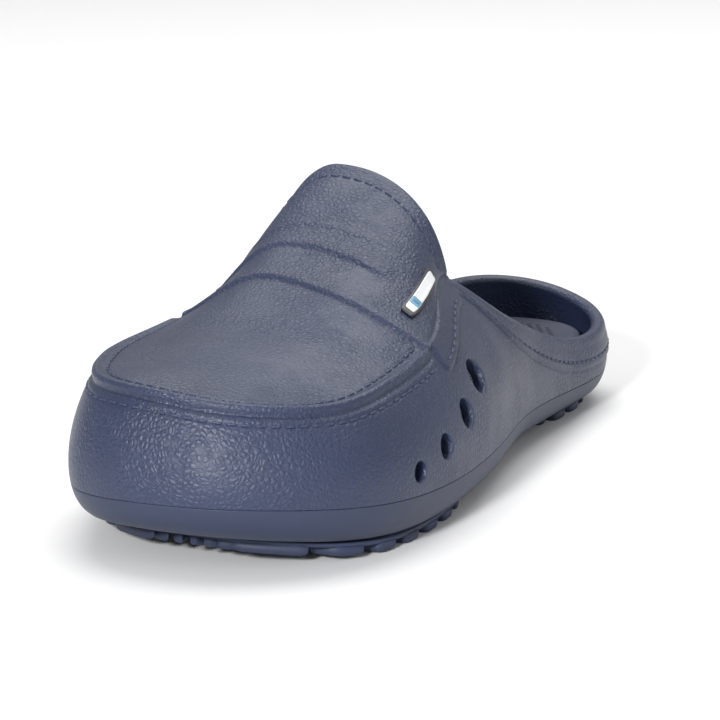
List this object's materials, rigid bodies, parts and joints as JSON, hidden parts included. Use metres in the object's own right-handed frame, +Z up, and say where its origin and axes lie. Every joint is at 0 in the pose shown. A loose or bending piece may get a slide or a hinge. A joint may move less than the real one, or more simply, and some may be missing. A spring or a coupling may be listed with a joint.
{
  "type": "garden clog",
  "caption": "Left-foot backless garden clog with a raised tongue, round side vents, a low heel collar, a loose insole and a lugged underside.",
  "frame": {"origin": "centre of the bounding box in plan, on the ground under the tread", "axes": "+Z up, toe towards -Y and heel towards +Y, +X towards the outer side of the foot"},
  "size_m": [0.1185, 0.2899, 0.099],
  "materials": {
    "upper_foam": "satin navy foam rubber with fine leather grain",
    "sole_foam": "matte navy foam rubber with fine speckled texture",
    "tread_rubber": "matte navy rubber",
    "insole_foam": "matte navy foam with small raised dots",
    "badge_plate": "satin black",
    "badge_face": "gloss, plain white with a coloured band"
  },
  "bodies": {
    "clog": {"upper": "upper_foam", "sole": "sole_foam", "forefoot_tread": "tread_rubber", "heel_tread": "tread_rubber", "badge_plate": "badge_plate", "badge_face": "badge_face"},
    "insole": {"insole": "insole_foam"}
  },
  "joints": [
    {"name": "insole_lift", "type": "hinge", "parent": "clog", "child": "insole", "pos_m": [0, -0.1343, 0.01474], "axis": [1, 0, 0], "range_deg": [0, 8]}
  ]
}
